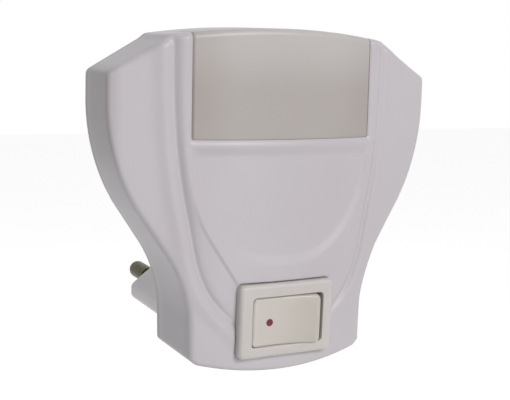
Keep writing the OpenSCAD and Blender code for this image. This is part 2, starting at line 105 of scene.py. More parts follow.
# the switch, in its own frame: y counts from the bezel's face
PIVOT_Y = 1.9
ROCKER_TILT = math.radians(-5.5)
OPENING_W, OPENING_H, OPENING_X, OPENING_Z = 16.1, 10.2, 0.25, -0.2
SEAT_W, SEAT_H, SEAT_EDGE = 21.14, 15.24, 0.25
BEZEL_W, BEZEL_H = 21.0, 15.0

# the plug pins, whose rounded tip starts at TIP_Y
SHANK_RADIUS, SLEEVE_RADIUS, PIN_RADIUS = 1.5, 1.8, 2.0
TIP_Y = 17.45

# inner side of the plug's end wall
PLUG_FLOOR = -3.5


# PLANE CURVES


def arc(centre, radius, start, end):
    """Points on an arc from start to end degrees, a millimetre apart, without its last point."""
    count = max(2, round(abs(math.radians(end - start)) * radius))
    turn = np.radians(start + (end - start) * np.arange(count) / count)
    x = centre[0] + radius * np.cos(turn)
    z = centre[1] + radius * np.sin(turn)
    return np.column_stack([x, z, np.zeros(count)])


def unit(v):
    return v / np.linalg.norm(v, axis=-1, keepdims=True)


def right_of(v):
    return np.column_stack([v[:, 1], -v[:, 0]])


def moved(points, inset):
    """A clockwise loop of x, z, corner radius, moved inwards."""
    xy = points[:, :2]
    ahead = unit(np.roll(xy, -1, 0) - xy)
    a, b = right_of(np.roll(ahead, 1, 0)), right_of(ahead)
    shift = (a + b) / (1 + (a * b).sum(1, keepdims=True))
    radius = np.where(points[:, 2] > 0, np.maximum(points[:, 2] - inset, 0.3), 0)
    return np.column_stack([xy + inset * shift, radius])


def rounded(points, segments=6):
    """The loop with its corners turned into arcs."""
    out = []
    xy = points[:, :2]
    for i, (x, z, r) in enumerate(points):
        p = xy[i]
        if r <= 0:
            out.append(p)
            continue
        d = unit(p - xy[i - 1])
        e = unit(xy[(i + 1) % len(xy)] - p)
        a = np.array([d[1], -d[0]])
        b = np.array([e[1], -e[0]])
        turn = d[0] * e[1] - d[1] * e[0]
        back = r * abs(turn) / (1 + d @ e)
        side = np.sign(a @ e) or 1.0
        centre = p - back * d + r * side * a
        for k in range(segments + 1):
            out.append(centre - r * side * unit(a * (segments - k) + b * k))
    return np.array(out)


def whole(half):
    """A right half, crown to bottom, with its mirror image."""
    half = np.array(half, float)
    return np.vstack([half, half[-2:0:-1] * [-1, 1, 1]])


def case_height(z):
    """A drawn height, scaled to the CAD case."""
    return LOW_Z + (z - DRAWN_LOW) * CASE_H / DRAWN_H


def case_outline(inset=0.0):
    """The case from the front: crown, shoulder, flank, waist, neck and chin."""
    half = np.vstack([
        arc((0, CROWN_CENTRE), CROWN_RADIUS, 90, 80.8),
        [[25.1, 56.3, 2.5], [35.7, 50, 1.4]],
        arc((-5.3, 44.9), 41, 0, -27.5),
        [[30, 24.1, 0]],
        arc((48, 0.2), 28.3, 148, 175),
        [[19.85, 2.6, 0], [19.62, -5.18, 0.8]],
        arc((0, 60.55), 69.4, -74.8, -90),
        [[0, DRAWN_LOW, 0]],
    ])
    half[:, 0] *= CASE_W / DRAWN_W
    half[:, 1] = case_height(half[:, 1])
    return rounded(moved(whole(half), inset))


def plug_outline(inset=0.0):
    """The flat six-sided plug body, seen along its pins."""
    return rounded(moved(whole([[0, 6.85, 0], [10.8, 6.85, 4.5], [18, 1.3, 1.5],
                                [18, -1.3, 1.5], [10.8, -6.85, 4.5], [0, -6.85, 0]]), inset))


def box_outline(width, height, radius, x=0.0, z=0.0, segments=6):
    """A rectangle with round corners."""
    half = [[0, height / 2, 0], [width / 2, height / 2, radius], [width / 2, -height / 2, radius],
            [0, -height / 2, 0]]
    return rounded(whole(half), segments) + [x, z]


def ring(radius, x, z, count):
    """A clockwise circle from its top."""
    turn = np.linspace(0, -2 * math.pi, count, endpoint=False) + math.pi / 2
    return np.column_stack([x + radius * np.cos(turn), z + radius * np.sin(turn)])


def quarter(count):
    """Even steps of a quarter turn."""
    return np.radians(np.linspace(0, 90, count))


def both_sides(half):
    """An open curve that ends in the middle, carried on by its mirror image."""
    return np.vstack([half, half[-2::-1] * [-1, 1]])


def lengths(points):
    """Distance along the curve to each of its points."""
    return np.concatenate([[0], np.cumsum(np.linalg.norm(np.diff(points, axis=0), axis=1))])


def sampled(points, run, at):
    """The points at some distances along the curve."""
    return np.column_stack([np.interp(at, run, points[:, k]) for k in (0, 1)])


def spaced(points, step):
    """The same closed curve with even steps."""
    points = np.vstack([points, points[:1]])
    run = lengths(points)
    keep = np.concatenate([[True], np.diff(run) > 1e-9])
    count = max(3, round(run[-1] / step))
    return sampled(points[keep], run[keep], np.linspace(0, run[-1], count + 1)[:count])


def outward(points, closed=True):
    """Unit normals of a clockwise curve, pointing out of it."""
    if closed:
        along = np.roll(points, -1, 0) - np.roll(points, 1, 0)
    else:
        along = np.gradient(points, axis=0)
    along = unit(along)
    return np.column_stack([-along[:, 1], along[:, 0]])


def curve_through(points, step=0.6):
    """A smooth open curve through the points."""
    p = np.array(points, float)
    p = np.vstack([2 * p[0] - p[1], p, 2 * p[-1] - p[-2]])
    out = []
    for a, b, c, d in zip(p, p[1:], p[2:], p[3:]):
        count = max(2, int(np.linalg.norm(c - b) / step))
        for t in np.arange(count) / count:
            out.append(0.5 * (2 * b + (c - a) * t + (2 * a - 5 * b + 4 * c - d) * t * t
                              + (3 * b - a - 3 * c + d) * t ** 3))
    out.append(p[-2])
    return np.array(out)


def inside(points, loop):
    """Whether each point lies inside the loop."""
    x, z = points[:, :1], points[:, 1:2]
    a, b = loop, np.roll(loop, -1, 0)
    cross = (a[:, 1] > z) != (b[:, 1] > z)
    with np.errstate(divide="ignore", invalid="ignore"):
        at = (b[:, 0] - a[:, 0]) * (z - a[:, 1]) / (b[:, 1] - a[:, 1]) + a[:, 0]
    return (cross & (x < at)).sum(1) % 2 == 1


def nearest(points, others, edge=None):
    """Distance from each point to the nearest of the others, or of the edges that start there."""
    out = []
    for first in range(0, len(points), BLOCK):
        away = points[first:first + BLOCK, None] - others
        if edge is not None:
            t = (away * edge).sum(2) / np.maximum((edge ** 2).sum(1), 1e-12)
            away = away - np.clip(t, 0, 1)[..., None] * edge
        out.append(np.linalg.norm(away, axis=2).min(1))
    return np.concatenate(out)


def distance(points, loop):
    """Distance from each point to the loop."""
    return nearest(points, loop, np.roll(loop, -1, 0) - loop)


def outside_of(points, loop):
    """Distance from the loop, below zero inside it."""
    far = distance(points, loop)
    return np.where(inside(points, loop), -far, far)


def thin(points, gap):
    """The points without those that crowd another one."""
    cell = np.round(points / gap).astype(int)
    _, first = np.unique(cell, axis=0, return_index=True)
    return points[np.sort(first)]


def ramp(t, soft):
    """A straight rise from 0 to 1 with rounded ends."""
    t = np.clip(t, -soft, 1 + soft)
    low = np.where(t < soft, (t + soft) ** 2 / (4 * soft), t)
    return np.where(t > 1 - soft, 1 - (1 + soft - t) ** 2 / (4 * soft), low)


# MESH BUILDING


class Skin:
    """Points in millimetres and faces that become one mesh."""

    def __init__(self):
        self.points = []
        self.faces = []

    def row(self, points):
        """Adds the points and gives back their numbers."""
        first = len(self.points)
        self.points.extend(tuple(float(v) for v in p) for p in points)
        return list(range(first, len(self.points)))

    def at(self, flat, y):
        """A row of x, z points at the depth y, which is one number or one for each point."""
        return self.row(np.column_stack([flat[:, 0], np.broadcast_to(y, len(flat)), flat[:, 1]]))

    def flat(self, row):
        """The x and z of a row's points."""
        return np.array([[self.points[v][0], self.points[v][2]] for v in row])

    def strip(self, a, b, closed=True):
        """Faces between two rows."""
        last = len(a) if closed else len(a) - 1
        for i in range(last):
            j = (i + 1) % len(a)
            quad = [a[i], a[j], b[j], b[i]]
            quad = [v for k, v in enumerate(quad) if v != quad[k - 1]]
            if len(quad) > 2:
                self.faces.append(quad)

    def rows(self, rows, closed=True):
        for a, b in zip(rows, rows[1:]):
            self.strip(a, b, closed)

    def solid(self, rows):
        """Rows with a face over each end."""
        self.rows(rows)
        self.faces += [rows[0], rows[-1]]

    def fill(self, loops, axes=(0, 2), grid=None, height=None):
        """Triangles between the first loop and the others, with grid points lifted to height."""
        known = [v for loop in loops for v in loop]
        flat = np.array([[self.points[v][axes[0]], self.points[v][axes[1]]] for v in known])
        borders, edges, first = [], [], 0
        for loop in loops:
            n = len(loop)
            borders.append(flat[first:first + n])
            edges += [(first + i, first + (i + 1) % n) for i in range(n)]
            first += n
        if grid is not None and len(grid):
            known = known + self.at(grid, height(grid))
            flat = np.vstack([flat, grid])
        _, _, triangles, origin, _, _ = delaunay_2d_cdt(
            [Vector(p) for p in flat], edges, [], 1, 1e-6)
        triangles = [t for t in triangles if all(origin[v] for v in t)]
        name = [known[o[0]] if o else None for o in origin]
        middle = np.array([flat[[origin[v][0] for v in t]].mean(0) for t in triangles])
        keep = np.full(len(triangles), True)
        for hole in borders[1:]:
            keep &= ~inside(middle, hole)
        for t, good in zip(triangles, keep):
            ids = [name[v] for v in t]
            if good and len(set(ids)) == 3:
                self.faces.append(ids)

    def piece(self, name, material, body):
        """The mesh object, with sharp edges marked, riding on its body."""
        mesh = bpy.data.meshes.new(name)
        mesh.from_pydata([tuple(v * MM for v in p) for p in self.points], [], self.faces)
        work = bmesh.new()
        work.from_mesh(mesh)
        bmesh.ops.remove_doubles(work, verts=work.verts, dist=2e-6)
        loose = [v for v in work.verts if not v.link_faces]
        bmesh.ops.delete(work, geom=loose, context="VERTS")
        bmesh.ops.recalc_face_normals(work, faces=work.faces)
        work.to_mesh(mesh)
        work.free()
        mesh.shade_smooth()
        mesh.set_sharp_from_angle(angle=SHARP)
        mesh.materials.append(material)
        made = bpy.data.objects.new(name, mesh)
        bpy.context.scene.collection.objects.link(made)
        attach(made, body)
        return made


def grid_points(loops, step, clear):
    """Staggered points inside the first loop, clear of every loop."""
    low, high = loops[0].min(0), loops[0].max(0)
    rows = []
    for i, z in enumerate(np.arange(low[1], high[1], step * 0.866)):
        x = np.arange(low[0] + (i % 2) * step / 2, high[0], step)
        rows.append(np.column_stack([x, np.full(len(x), z)]))
    points = np.vstack(rows)
    keep = inside(points, loops[0])
    for hole in loops[1:]:
        keep &= ~inside(points, hole)
    points = points[keep]
    near = np.min([distance(points, loop) for loop in loops], axis=0)
    return points[near > clear]


def edge_profile(radius, slope, steps):
    """Outward and backward offsets of a rounded edge, from the front face to the wall."""
    radius = np.broadcast_to(radius, slope.shape)[:, None]
    lean = np.arctan(slope)[:, None]
    turn = lean + (math.pi / 2 - lean) * np.arange(steps + 1) / steps
    out = -radius + radius * np.sin(turn)
    drop = radius * (np.cos(lean) - np.cos(turn))
    return out, drop


def slab(skin, loop, front, edge, back, step, back_edge=0.0, steps=5):
    """A closed plate: its front follows a height, and its edges are rounded."""
    normal = outward(loop)
    out, drop = edge_profile(edge, np.zeros(len(loop)), steps)
    level = front(loop + normal * out[:, :1])
    rows = [skin.at(loop + normal * out[:, k:k + 1], level + drop[:, k]) for k in range(steps + 1)]
    if back_edge > 0:
        out, drop = edge_profile(back_edge, np.zeros(len(loop)), 3)
        for k in range(3, -1, -1):
            rows.append(skin.at(loop + normal * out[:, k:k + 1], back - drop[:, k]))
    else:
        rows.append(skin.at(loop, back))
    skin.rows(rows)
    grid = grid_points([skin.flat(rows[0])], step, step * 0.6)
    skin.fill([rows[0]], grid=grid, height=front)
    skin.fill([rows[-1]])


def lathe(skin, profile, x, bored=False):
    """A turned solid along Y: its profile is a list of y and radius."""
    rows = [skin.at(ring(radius, x, 0, 56), y) for y, radius in profile]
    if bored:
        skin.rows(rows + rows[:1])
    else:
        skin.solid(rows)


def lost(reach, radius):
    """How far a rounded edge has fallen away at a distance from its wall."""
    return radius - math.sqrt(max(radius ** 2 - (radius - reach) ** 2, 0))


# SHAPE OF THE FRONT

CREST = [(21.8, 66), (21.8, 52), (21.7, 44), (21.3, 36), (20.3, 29.5), (19, 24.5), (17.2, 20.2),
         (15, 16.6), (10.6, 9.7), (8, 5.6)]
FOOT = [(23.2, 66), (23.2, 52), (23.0, 44), (22.5, 36.7), (21.5, 29), (20, 21.5), (18.3, 13.5),
        (16.4, 8.6), (13.9, 5.0), (10.6, 1.7), (7.5, -1.5)]
BOWL_FLOOR = [(0, 14.9), (4, 15.1), (8, 16.3), (12, 19.2), (15, 23.0), (17.6, 28.0), (18.8, 32.2),
              (19.0, 33.6), (18.0, 34.6), (0, 34.7)]
BOWL_RIM = [(0, 12.5), (4, 12.8), (8.5, 14.3), (13, 17.6), (16.8, 22.6), (19.3, 28.4),
            (20.1, 33.6), (20.2, 35.6), (19.2, 36.5), (0, 36.5)]


def mirrored(points):
    """A closed loop from a smooth right half."""
    half = curve_through(points)
    return np.vstack([half, half[::-1] * [-1, 1]])


CREST_LOOP = mirrored(CREST)
FOOT_LOOP = mirrored(FOOT)
BOWL_FLOOR_LOOP = mirrored(BOWL_FLOOR)
BOWL_RIM_LOOP = mirrored(BOWL_RIM)


def between(points, inner, outer):
    """1 inside the inner loop, 0 outside the outer one, and a share of the way between."""
    a = distance(points, inner)
    b = distance(points, outer)
    share = b / np.maximum(a + b, 1e-9)
    return np.where(inside(points, inner), 1 + a, np.where(inside(points, outer), share, -b))


def bulge(points, offset=0.0):
    """Front of the case before its details, moved forwards by the offset."""
    x = np.abs(points[:, 0])
    sag = FACE_RADIUS - np.sqrt(np.maximum((FACE_RADIUS + offset) ** 2 - x ** 2, 1))
    flank = FLANK_X ** 2 / (2 * FACE_RADIUS) + (x - FLANK_X) * FLANK_SLOPE - offset
    soft = 0.3 * np.clip((x - CORE_X) / 5, 0, 1)
    least = (sag + flank - np.sqrt((sag - flank) ** 2 + soft ** 2)) / 2
    sag = np.where(x > CORE_X, least, sag)
    return FRONT_Y + sag / math.cos(FACE_LEAN) + points[:, 1] * math.tan(FACE_LEAN)


def frame_level(x, rise):
    """How far the middle stands proud: less beside the window than in the middle."""
    return rise * (1 - 0.5 * np.clip(np.abs(x) / FRAME_X, 0, 1) ** 2)


def swell(far, middle, width):
    """A soft wave of height 1 at a distance of middle."""
    return np.exp(-((far - middle) / width) ** 2)


def front_face(points, details):
    """Height of the case front: a facet rises from a groove to a small step around the middle,
    and the bowl lies in the middle."""
    z = points[:, 1]
    rise = details.frame_rise / MM
    step = details.crest_step / MM * np.clip((27 - z) / 10, 0, 1)
    crest = outside_of(points, CREST_LOOP)
    foot = outside_of(points, FOOT_LOOP)
    share = np.where(crest < 0, 1 - crest / FACET,
                     np.where(foot > 0, -foot / FACET, -foot / np.maximum(crest - foot, 1e-9)))
    soft = np.interp(z, [24, 36], [0.32, 0.14])
    level = frame_level(points[:, 0], rise)
    raised = (level - step) * ramp(share, soft) + step * ramp(0.5 - crest / 0.4, 0.3)
    deeper = np.interp(z, [0, 6, 20, 40], [0.3, 1.6, 1.6, 1])
    groove = details.groove / MM * swell(foot, 0.1, 0.6) * deeper
    roll = details.flank_roll / MM * swell(foot, 2.1, 1.4)
    sunk = between(points, BOWL_FLOOR_LOOP, BOWL_RIM_LOOP)
    sunk = np.where(sunk > 1, 1 + (sunk - 1) / 2.0, np.where(sunk < 0, sunk / 2.0, sunk))
    return bulge(points) - raised + groove - roll + rise * ramp(sunk, 0.2)


def window_round(points):
    """How far the rounded window edge falls away from the face."""
    dx = np.maximum(np.abs(points[:, 0]) - (WINDOW_X - WINDOW_CORNER), 0)
    dz = np.maximum(WINDOW_Z + WINDOW_CORNER - points[:, 1], 0)
    far = np.clip(np.hypot(dx, dz) - WINDOW_CORNER, 0, ROUND_REACH)
    return ROUND_DEPTH * (1 - far / ROUND_REACH) ** 2


STEPS_OUT = np.array([0, 0.15, 0.3, 0.5, 0.75, 1.0, ROUND_REACH])
FINE = (-0.9, -0.6, -0.4, -0.2, 0, 0.2, 0.4, 0.6, 0.9)
COARSE = (-0.5, 0, 0.5)


def side_chain(loop, near, start, step):
    """The loop cut at the window: its crown, and the rest round from the right to the left. The
    rest has points at the near distances from the cut, and even steps from the start on."""
    loop = np.vstack([loop, loop[:1]])
    half = loop[: len(loop) // 2 + 1]
    run = lengths(half)
    past = int(np.argmax(half[:, 0] > WINDOW_X)) + 1
    at_cut = np.interp(WINDOW_X, half[:past, 0], run[:past])
    marks = np.concatenate([near, np.arange(start, run[-1] - at_cut - 0.3, step)])
    right = sampled(half, run, np.append(at_cut + marks, run[-1]))
    crown = sampled(half, run, np.linspace(0, at_cut, 33))
    return np.vstack([crown[:0:-1] * [-1, 1], crown]), both_sides(right)


def face_and_shell(details):
    """The front case: outer face with every edge rounded, window, switch seat and inside."""
    skin = Skin()
    crown, side = side_chain(case_outline(), STEPS_OUT * 1.008, 1.7, 0.5)
    full = np.vstack([side, crown[1:-1]])
    full_normal = outward(full)
    normal = unit(full_normal[: len(side)])

    def face(points):
        return front_face(points, details)

    # rounded edge along the outline
    edge = details.edge_radius / MM * np.interp(side[:, 1], [-6, -3, 5, 12, 25, 38],
                                                [1.1, 1.6, 1.7, 1.6, 1.4, 1.1])
    edge += details.edge_radius / MM * np.clip((side[:, 1] - 50) / 4, 0, 0.6)
    probe = 0.05
    start = side - normal * edge[:, None]
    slope = (face(start) - face(start - normal * probe)) / probe
    slope = np.convolve(np.pad(slope, 3, mode="edge"), np.ones(7) / 7, "valid")
    out, drop = edge_profile(edge, slope, 7)
    start = face(side + normal * out[:, :1])
    shared = len(STEPS_OUT) - 1
    near_window = np.clip(1 - (np.arange(len(side)) - shared) / 12, 0, 1)
    near_window = near_window - near_window[::-1]
    fillet = []
    for k in range(out.shape[1]):
        flat = side + normal * out[:, k:k + 1]
        reach = (side[0, 0] - flat[0, 0]) * near_window
        flat += np.column_stack([reach, -reach * normal[:, 0] / np.maximum(normal[:, 1], 0.5)])
        fillet.append(skin.at(flat, start + drop[:, k] + window_round(flat)))
    skin.rows(fillet, closed=False)

    # side wall down to the back
    wall_y = np.array([skin.points[v][1] for v in fillet[-1]])
    rows = [fillet[-1]]
    rows += [skin.at(side, wall_y + (WINDOW_Y - wall_y) * share) for share in (0.33, 0.66)]
    notch = skin.at(side, WINDOW_Y)
    rows.append(notch)
    skin.rows(rows, closed=False)
    top_row = skin.at(crown[1:-1], WINDOW_Y)
    ring_rows = [notch + top_row]
    for y, inset in ((-24.0, 0), (BACK_Y - 0.4, 0), (BACK_Y - 0.2, 0.054), (BACK_Y - 0.054, 0.2),
                     (BACK_Y, 0.4)):
        ring_rows.append(skin.at(full - full_normal * inset, y))
    skin.rows(ring_rows)

    # strips beside and below the window
    right, low = WINDOW_X - WINDOW_CORNER, WINDOW_Z + WINDOW_CORNER
    turn = quarter(6)
    corner = np.column_stack([np.cos(turn), -np.sin(turn)])
    top = skin.points[fillet[0][0]][2]
    count = 34
    window = both_sides(np.vstack([
        np.column_stack([np.full(count, WINDOW_X), np.linspace(top, low, count + 1)[:-1]]),
        [right, low] + WINDOW_CORNER * corner,
        np.column_stack([np.linspace(right, 0, count), np.full(count, WINDOW_Z)])[1:]]))
    away = both_sides(np.vstack([np.tile([1.0, 0.0], (count, 1)), corner,
                                 np.tile([0.0, -1.0], (count - 1, 1))]))
    window_rows = []
    for k, reach in enumerate(STEPS_OUT):
        flat = (window + away * reach)[1:-1]
        made = skin.at(flat, face(flat) + window_round(flat))
        window_rows.append([fillet[0][k]] + made + [fillet[0][-1 - k]])
    skin.rows(window_rows, closed=False)

    # seat of the switch
    seat = spaced(box_outline(SEAT_W, SEAT_H, 1.05, 0, SWITCH_Z + 0.05), 0.5)
    seat_normal = outward(seat)
    level = face(seat)
    depth = np.clip(SEAT_Y - level, 0, SEAT_EDGE) / SEAT_EDGE
    seat_rows = []
    for reach in (SEAT_EDGE, 0.16, 0.08, 0.03, 0.0):
        flat = seat + seat_normal * reach
        seat_rows.append(skin.at(flat, face(flat) + lost(reach, SEAT_EDGE) * depth))
    seat_rows.append(skin.at(seat, np.maximum(level, SEAT_Y)))
    cut = spaced(box_outline(19.2, 13.3, 0.6, 0, SWITCH_Z), 0.5)
    cut_front = skin.at(cut, np.maximum(face(cut), SEAT_Y))
    skin.rows(seat_rows)
    skin.fill([seat_rows[-1], cut_front])

    # the face itself, with its points closest along the lines of the details
    border = fillet[0][shared:-shared] + window_rows[-1][1:-1][::-1]
    outer, hole = skin.flat(border), skin.flat(seat_rows[0])
    lines = []
    for curve, first, reaches in ((CREST, 0, FINE), (FOOT, 0, FINE), (BOWL_FLOOR[:7], 1, COARSE),
                                  (BOWL_RIM[:7], 1, COARSE)):
        spine = curve_through(curve, 0.7)
        side_way = outward(spine, closed=False)
        for reach in reaches:
            line = spine + side_way * reach
            lines += [line, line[first:] * [-1, 1]]
    for z in (34.4, 34.8, 35.2, 35.6, 36.0, 36.4):
        x = np.arange(-19.4, 19.5, 0.7)
        lines.append(np.column_stack([x, np.full(len(x), z)]))
    detail = thin(np.vstack(lines), 0.17)
    detail = detail[inside(detail, outer) & ~inside(detail, hole)]
    detail = detail[np.minimum(distance(detail, outer), distance(detail, hole)) > 0.2]
    grid = grid_points([outer, hole], 0.75, 0.4)
    grid = grid[nearest(grid, detail) > 0.45]
    skin.fill([border, seat_rows[0]], grid=np.vstack([detail, grid]), height=face)

    # inside of the case
    in_crown, in_side = side_chain(case_outline(WALL), [], 0, 0.8)

    def lining(points):
        return bulge(points, -WALL)

    in_front = skin.at(in_side, lining(in_side))
    in_notch = skin.at(in_side, WINDOW_Y)
    in_top = skin.at(in_crown[1:-1], WINDOW_Y)
    in_back = skin.at(skin.flat(in_notch + in_top), INNER_Y)
    skin.strip(in_front, in_notch, closed=False)
    skin.strip(in_notch + in_top, in_back)
    rebate = spaced(case_outline(0.55 * WALL), 0.8)
    lip_back, lip_inner = skin.at(rebate, BACK_Y), skin.at(rebate, INNER_Y)
    skin.strip(lip_back, lip_inner)
    skin.fill([ring_rows[-1], lip_back])
    skin.fill([lip_inner, in_back])
    window_edge = window_rows[0]
    under = [v for v in window_edge if skin.points[v][2] <= in_side[0, 1] - 0.2]
    window_in = skin.at(skin.flat(under), lining(skin.flat(under)))
    cut_in = skin.at(cut, lining(cut))
    skin.strip(under, window_in, closed=False)
    skin.strip(cut_front, cut_in)
    in_border = in_front + window_in[::-1]
    grid = grid_points([skin.flat(in_border), cut], 2.5, 1.5)
    skin.fill([in_border, cut_in], grid=grid, height=lining)
    first = window_edge.index(under[0])
    for end, along in ((0, window_edge), (-1, window_edge[::-1])):
        cheek = [row[end] for row in rows[::-1] + fillet[-2:0:-1]] + along[:first + 1]
        skin.fill([cheek + [window_in[end], in_front[end], in_notch[end]]], axes=(1, 2))
    skin.fill([[notch[-1]] + top_row + [notch[0], in_notch[0]] + in_top[::-1] + [in_notch[-1]]])
    return skin


# THE OTHER PIECES


def crown_z(x, inset):
    """Height of the crown above x, moved inwards."""
    return float(case_height(CROWN_CENTRE + math.sqrt((CROWN_RADIUS - inset) ** 2 - x ** 2)))


def lens_skin(details):
    """The milky window: one thick moulding that turns over the crown, with its hidden flange."""
    skin = Skin()
    rise, recess = details.frame_rise / MM, details.lens_recess / MM
    edge = details.edge_radius / MM * 1.6
    gap, thickness, step_in, flange = 0.03, 3.1, 2.2, 1.7
    bottom = WINDOW_Z + gap
    half = WINDOW_X - gap

    def front(x, z, depth):
        lift = float(frame_level(x, rise)) - recess
        return float(bulge(np.array([[x, z]]), lift - depth)[0])

    def over_crown(x, depth):
        radius = max(edge - depth, 0.25)
        start = crown_z(x, depth) - radius + radius * math.sin(FACE_LEAN)
        y = front(x, start, depth)
        turns = [FACE_LEAN + (math.pi / 2 - FACE_LEAN) * k / 6 for k in range(7)]
        return [(start + radius * (math.sin(turn) - math.sin(FACE_LEAN)),
                 y + radius * (math.cos(FACE_LEAN) - math.cos(turn))) for turn in turns]

    def column(x, depth):
        low = bottom - flange
        path = [(low, front(x, low, step_in)), (bottom, front(x, bottom, step_in))]
        for reach in (0.0, 0.01, 0.03, 0.06):
            path.append((bottom + reach, front(x, bottom + reach, max(depth, lost(reach, 0.06)))))
        crown = over_crown(x, depth)
        for z in np.linspace(bottom + 0.6, crown[0][0] - 0.3, 26):
            path.append((z, front(x, z, depth)))
        path += crown
        top = crown[-1][0]
        path += [(top, WINDOW_Y - 4.5), (top, WINDOW_Y - 0.3)]
        path.append((top - (0.2 if depth < 0.2 else 0), WINDOW_Y - 0.1))
        rim = crown_z(x, 2.5)
        path += [(rim, WINDOW_Y - 0.1), (rim, WINDOW_Y + 1), (rim - 0.9, WINDOW_Y + 1)]
        path += over_crown(x, thickness)[::-1]
        for z in np.linspace(path[-1][0] - 0.5, low, 12):
            path.append((z, front(x, z, thickness)))
        return [(x, y, z) for z, y in path]

    side = [(half + flange, step_in), (half, step_in), (half, 0.06), (half - 0.01, 0.027),
            (half - 0.03, 0.008), (half - 0.06, 0.0)]
    middle = [(x, 0.0) for x in np.linspace(-half + 0.8, half - 0.8, 49)]
    columns = [(-x, depth) for x, depth in side] + middle + side[::-1]
    rows = [skin.row(column(*place)) for place in columns]
    skin.rows(rows)
    skin.fill([rows[0]], axes=(1, 2))
    skin.fill([rows[-1]], axes=(1, 2))
    return skin


SCREWS = [(15.8, 11.1), (-15.8, 11.1), (27.6, 46.95), (-27.6, 46.95)]


def rear_skin(details):
    """The rear cover and the plug body that is moulded with it."""
    skin = Skin()
    plate = spaced(case_outline(1.255), 0.6)
    plate_out = outward(plate)
    rows = [skin.at(plate - plate_out * inset, y) for inset, y in
            ((0, INNER_Y), (0, BACK_Y - 0.25), (0.07, BACK_Y - 0.07), (0.25, BACK_Y))]
    skin.rows(rows)

    plug = spaced(plug_outline(), 0.4)
    plug_out = outward(plug)
    edge = plate - plate_out * 0.25
    foot = np.clip(-outside_of(plug, edge) - 0.05, -0.6, 0.8)[:, None]
    plug_rows = []
    for turn in quarter(6):
        y = BACK_Y + np.abs(foot[:, 0]) * (1 - math.cos(turn))
        plug_rows.append(skin.at(plug + plug_out * foot * (1 - math.sin(turn)), y))
    plug_rows += [skin.at(plug, y) for y in (-15.0, -10.0, -5.0)]
    round_end = details.plug_edge / MM
    for turn in quarter(7):
        plug_rows.append(skin.at(plug - plug_out * round_end * (1 - math.cos(turn)),
                                 -round_end + round_end * math.sin(turn)))
    skin.rows(plug_rows)

    def holes(places, count, profile):
        made = []
        for x, z in places:
            made.append([skin.at(ring(radius, x, z, count), y) for radius, y in profile])
            skin.rows(made[-1])
        return [hole[0] for hole in made], [hole[-1] for hole in made]

    screw_tops, screw_ends = holes(SCREWS, 32, ((3.15, BACK_Y), (3.05, BACK_Y - 0.1),
                                                (1.62, BACK_Y - 1.53), (1.62, INNER_Y)))
    borders = [edge, plug + plug_out * foot] + [ring(3.15, x, z, 32) for x, z in SCREWS]
    skin.fill([rows[-1], plug_rows[0]] + screw_tops, grid=grid_points(borders, 3.0, 1.6),
              height=lambda p: np.full(len(p), BACK_Y))

    pin_tops, pin_ends = holes([(-PIN_X, 0), (PIN_X, 0)], 40,
                               ((2.05, 0.0), (1.88, -0.17), (1.84, -0.6), (1.84, PLUG_FLOOR)))
    skin.fill([plug_rows[-1]] + pin_tops)

    hollow = spaced(plug_outline(2.0), 0.8)
    mouth, floor = skin.at(hollow, INNER_Y), skin.at(hollow, PLUG_FLOOR)
    skin.strip(mouth, floor)
    skin.fill([floor] + pin_ends)
    skin.fill([rows[0], mouth] + screw_ends)
    return skin


def switch_place(skin, tilt=0.0):
    """Moves a skin from the switch's own frame to the part's, turned about the pivot."""
    p = np.array(skin.points, float)
    y = p[:, 1] - PIVOT_Y
    c, s = math.cos(tilt), math.sin(tilt)
    turned = np.column_stack([p[:, 0] * c - y * s, p[:, 0] * s + y * c, p[:, 2]])
    skin.points = [tuple(v) for v in turned + (0, BEZEL_Y + PIVOT_Y, SWITCH_Z)]
    return skin


def switch_skin(sizes):
    """The bezel and the box behind it, open at the front for the rocker."""
    skin = Skin()

    def loop(width, height, radius, y, x=0.0, z=0.0):
        return skin.at(box_outline(width, height, radius, x, z, segments=8), y)

    def opening(y, wider=0.0):
        return loop(OPENING_W + 2 * wider, OPENING_H + 2 * wider, 0.8 + wider, y, OPENING_X,
                    OPENING_Z)

    edge = sizes.bezel_edge / MM
    lip = sizes.opening_edge / MM
    rows = [loop(18.1, 12.4, 0.3, 13.4), loop(18.7, 13, 0.6, 13.1), loop(18.7, 13, 0.6, 2.0),
            loop(20.8, 14.8, 0.9, 2.0), loop(BEZEL_W, BEZEL_H, 1.0, 1.85)]
    for turn in quarter(7):
        inset = edge * (1 - math.cos(turn))
        rows.append(loop(BEZEL_W - 2 * inset, BEZEL_H - 2 * inset,
                         1.0 + 0.2 * edge - inset * 0.6, edge - edge * math.sin(turn)))
    rows += [opening(lip - lip * math.sin(turn), lip * (1 - math.cos(turn)))
             for turn in quarter(6)[::-1]]
    rows += [opening(6.0), opening(12.0), loop(15.7, 9.7, 0.3, 12.2, OPENING_X, OPENING_Z)]
    skin.solid(rows)
    return switch_place(skin)


def rocker_face(points):
    """Hollowed face of the rocker, in its own frame."""
    hollow = 31.7
    return 0.5 - hollow + np.sqrt(hollow ** 2 - np.clip(points[:, 0], -9, 9) ** 2)


